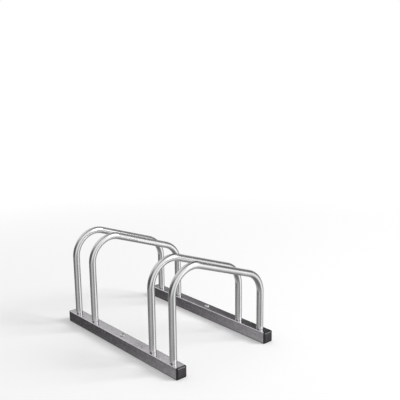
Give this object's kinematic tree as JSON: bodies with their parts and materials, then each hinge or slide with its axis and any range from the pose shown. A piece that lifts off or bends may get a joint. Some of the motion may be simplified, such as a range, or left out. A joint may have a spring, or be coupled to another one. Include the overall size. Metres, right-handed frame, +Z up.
{
  "type": "bicycle rack",
  "caption": "Floor-standing bicycle rack: sloped round-tube hoops in pairs hold wheels upright, on two parallel square-tube rails with plastic end caps.",
  "frame": {"origin": "on the floor, at the middle of the rack's footprint", "axes": "+X along the rails, +Y from the rail of the tall legs to the rail of the short legs, +Z up"},
  "size_m": [0.474, 0.318, 0.262],
  "materials": {
    "bright_zinc_steel": "bright zinc-plated, drawn tube",
    "rolled_zinc_steel": "bright zinc-plated, rolled section",
    "zinc_plated_screws": "zinc-plated, cold-formed",
    "black_moulded_plastic": "injection-moulded, satin"
  },
  "bodies": {
    "root": {"rail_tall": "rolled_zinc_steel", "rail_short": "rolled_zinc_steel", "hoop_1": "bright_zinc_steel", "hoop_2": "bright_zinc_steel", "hoop_3": "bright_zinc_steel", "hoop_4": "bright_zinc_steel", "end_cap_tall_left": "black_moulded_plastic", "end_cap_tall_right": "black_moulded_plastic", "end_cap_short_left": "black_moulded_plastic", "end_cap_short_right": "black_moulded_plastic", "hoop_insert_1_tall": "zinc_plated_screws", "hoop_insert_2_tall": "zinc_plated_screws", "hoop_insert_3_tall": "zinc_plated_screws", "hoop_insert_4_tall": "zinc_plated_screws", "hoop_insert_1_short": "zinc_plated_screws", "hoop_insert_2_short": "zinc_plated_screws", "hoop_insert_3_short": "zinc_plated_screws", "hoop_insert_4_short": "zinc_plated_screws", "hoop_washer_1_tall": "zinc_plated_screws", "hoop_washer_2_tall": "zinc_plated_screws", "hoop_washer_3_tall": "zinc_plated_screws", "hoop_washer_4_tall": "zinc_plated_screws", "hoop_washer_1_short": "zinc_plated_screws", "hoop_washer_2_short": "zinc_plated_screws", "hoop_washer_3_short": "zinc_plated_screws", "hoop_washer_4_short": "zinc_plated_screws", "hoop_bolt_1_tall": "zinc_plated_screws", "hoop_bolt_2_tall": "zinc_plated_screws", "hoop_bolt_3_tall": "zinc_plated_screws", "hoop_bolt_4_tall": "zinc_plated_screws", "hoop_bolt_1_short": "zinc_plated_screws", "hoop_bolt_2_short": "zinc_plated_screws", "hoop_bolt_3_short": "zinc_plated_screws", "hoop_bolt_4_short": "zinc_plated_screws", "floor_screw_tall": "zinc_plated_screws", "floor_screw_short": "zinc_plated_screws"}
  },
  "joints": []
}
